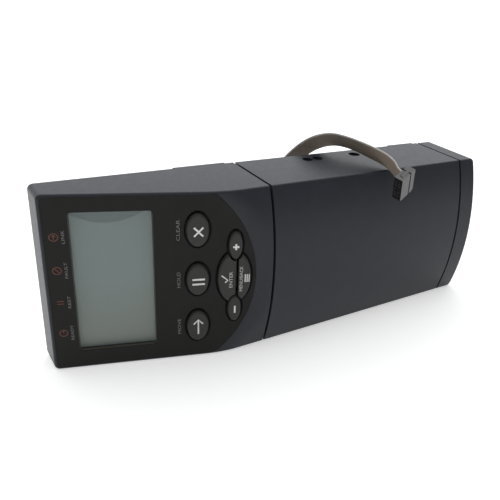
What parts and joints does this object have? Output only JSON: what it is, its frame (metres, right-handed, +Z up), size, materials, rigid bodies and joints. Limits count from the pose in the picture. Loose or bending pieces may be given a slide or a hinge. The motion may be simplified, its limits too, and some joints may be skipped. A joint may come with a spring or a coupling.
{
  "type": "printer front control panel",
  "caption": "Long charcoal control panel with a display in a tilted face, oval keys, a curved plain cover, an end cap and a grey ribbon cable with a two-row socket.",
  "frame": {"origin": "under the middle of the shells' box, on the flat side wall that the panel lies on", "axes": "+X from the display end to the plain end, +Y from the curved front to the open back, +Z up across the panel's width"},
  "size_m": [0.29, 0.0889, 0.1222],
  "materials": {
    "housing_plastic": "fine textured charcoal ABS",
    "overlay_film": "printed matte film",
    "clear_lens": "clear moulded plastic",
    "display_glass": "unlit liquid-crystal cell",
    "key_rubber": "coated grey silicone",
    "grey_silicone": "moulded silicone",
    "black_foam": "foam strip",
    "white_guide": "white moulding",
    "zinc_steel": "zinc-plated sheet",
    "screw_steel": "plated steel",
    "spacer_brass": "turned brass",
    "circuit_board": "green solder mask",
    "black_moulding": "black moulding",
    "can_aluminium": "sleeved can",
    "contact_brass": "gold-flashed contact",
    "plug_plastic": "grey moulding",
    "ribbon_pvc": "grey ribbon insulation",
    "legend_ink": "screen-printed ink"
  },
  "bodies": {
    "root": {"display_housing": "housing_plastic", "front_cover": "housing_plastic", "end_cap": "housing_plastic", "rear_frame": "zinc_steel", "frame_screws": "screw_steel", "face_overlay": "overlay_film", "window_lens": "clear_lens", "lcd_gasket": "black_foam", "lcd_glass": "display_glass", "lcd_bezel": "zinc_steel", "lcd_backlight": "white_guide", "lcd_board": "circuit_board", "lcd_header": "black_moulding", "light_pipes": "clear_lens", "indicator_leds": "white_guide", "keypad_mat": "grey_silicone", "keypad_board": "circuit_board", "keypad_screws": "screw_steel", "keypad_link": "black_moulding", "board_spacers": "spacer_brass", "control_board": "circuit_board", "control_screws": "screw_steel", "spacer_screws": "screw_steel", "board_chips": "black_moulding", "board_capacitors": "can_aluminium", "board_sounder": "black_moulding", "board_header": "black_moulding", "board_header_pins": "contact_brass", "board_plug_body": "plug_plastic", "board_plug_contacts": "contact_brass", "board_plug_cover": "plug_plastic", "ribbon_cable": "ribbon_pvc", "far_plug_body": "plug_plastic", "far_plug_contacts": "contact_brass", "far_plug_cover": "plug_plastic", "far_plug_relief": "plug_plastic"},
    "key_clear_body": {"key_clear": "key_rubber"},
    "key_hold_body": {"key_hold": "key_rubber"},
    "key_move_body": {"key_move": "key_rubber"},
    "key_plus_body": {"key_plus": "key_rubber"},
    "key_minus_body": {"key_minus": "key_rubber"},
    "key_enter_body": {"key_enter": "key_rubber"},
    "key_menu_body": {"key_menu": "key_rubber"}
  },
  "joints": [
    {"name": "key_clear_press", "type": "slide", "parent": "root", "child": "key_clear_body", "axis": [0.304, 0.9527, 0], "range_m": [0, 0.001], "stiffness_N_per_m": 1200, "springref_m": -0.0004},
    {"name": "key_hold_press", "type": "slide", "parent": "root", "child": "key_hold_body", "axis": [0.304, 0.9527, 0], "range_m": [0, 0.001], "stiffness_N_per_m": 1200, "springref_m": -0.0004},
    {"name": "key_move_press", "type": "slide", "parent": "root", "child": "key_move_body", "axis": [0.304, 0.9527, 0], "range_m": [0, 0.001], "stiffness_N_per_m": 1200, "springref_m": -0.0004},
    {"name": "key_plus_press", "type": "slide", "parent": "root", "child": "key_plus_body", "axis": [0.304, 0.9527, 0], "range_m": [0, 0.001], "stiffness_N_per_m": 1200, "springref_m": -0.0004},
    {"name": "key_minus_press", "type": "slide", "parent": "root", "child": "key_minus_body", "axis": [0.304, 0.9527, 0], "range_m": [0, 0.001], "stiffness_N_per_m": 1200, "springref_m": -0.0004},
    {"name": "key_enter_press", "type": "slide", "parent": "root", "child": "key_enter_body", "axis": [0.304, 0.9527, 0], "range_m": [0, 0.001], "stiffness_N_per_m": 1200, "springref_m": -0.0004},
    {"name": "key_menu_press", "type": "slide", "parent": "root", "child": "key_menu_body", "axis": [0.304, 0.9527, 0], "range_m": [0, 0.001], "stiffness_N_per_m": 1200, "springref_m": -0.0004}
  ]
}
